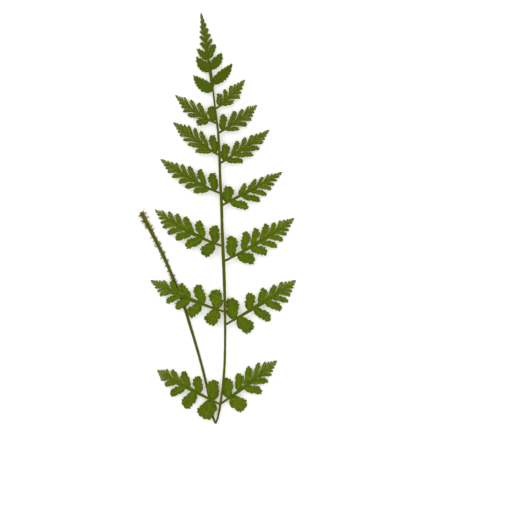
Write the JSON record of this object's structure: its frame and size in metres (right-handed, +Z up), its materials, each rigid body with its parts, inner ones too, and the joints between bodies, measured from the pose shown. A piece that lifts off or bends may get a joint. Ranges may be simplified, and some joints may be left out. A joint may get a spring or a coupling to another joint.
{
  "type": "bracken frond",
  "caption": "Flat triangular fern frond: rounded, toothed leaflets on paired side branches along an arched stalk, bare stalk folded back beneath the blade",
  "frame": {"origin": "Centre of the bounding box in X and Y, lowest point of the underside in Z: the surface the frond lies on is Z = 0.", "axes": "+Y runs along the frond from the fold in the stalk to the leaf tip, +X is to the right seen from above with the tip away, +Z is up out of the upper leaf surface."},
  "size_m": [0.1112, 0.2918, 0.0062],
  "materials": {
    "stipe": "satin, finely ribbed",
    "rachis": "satin, finely ribbed",
    "left_pinna_1": "matt leaf blade with fine veins",
    "right_pinna_1": "matt leaf blade with fine veins",
    "left_pinna_2": "matt leaf blade with fine veins",
    "right_pinna_2": "matt leaf blade with fine veins",
    "left_pinna_3": "matt leaf blade with fine veins",
    "right_pinna_3": "matt leaf blade with fine veins",
    "left_pinna_4": "matt leaf blade with fine veins",
    "right_pinna_4": "matt leaf blade with fine veins",
    "left_pinna_5": "matt leaf blade with fine veins",
    "right_pinna_5": "matt leaf blade with fine veins",
    "left_pinna_6": "matt leaf blade with fine veins",
    "right_pinna_6": "matt leaf blade with fine veins",
    "left_pinna_7": "matt leaf blade with fine veins",
    "right_pinna_7": "matt leaf blade with fine veins",
    "frond_tip": "matt leaf blade with fine veins"
  },
  "bodies": {
    "root": {"stipe": "stipe", "rachis": "rachis", "left_pinna_1": "left_pinna_1", "right_pinna_1": "right_pinna_1", "left_pinna_2": "left_pinna_2", "right_pinna_2": "right_pinna_2", "left_pinna_3": "left_pinna_3", "right_pinna_3": "right_pinna_3", "left_pinna_4": "left_pinna_4", "right_pinna_4": "right_pinna_4", "left_pinna_5": "left_pinna_5", "right_pinna_5": "right_pinna_5", "left_pinna_6": "left_pinna_6", "right_pinna_6": "right_pinna_6", "left_pinna_7": "left_pinna_7", "right_pinna_7": "right_pinna_7", "frond_tip": "frond_tip"}
  },
  "joints": []
}
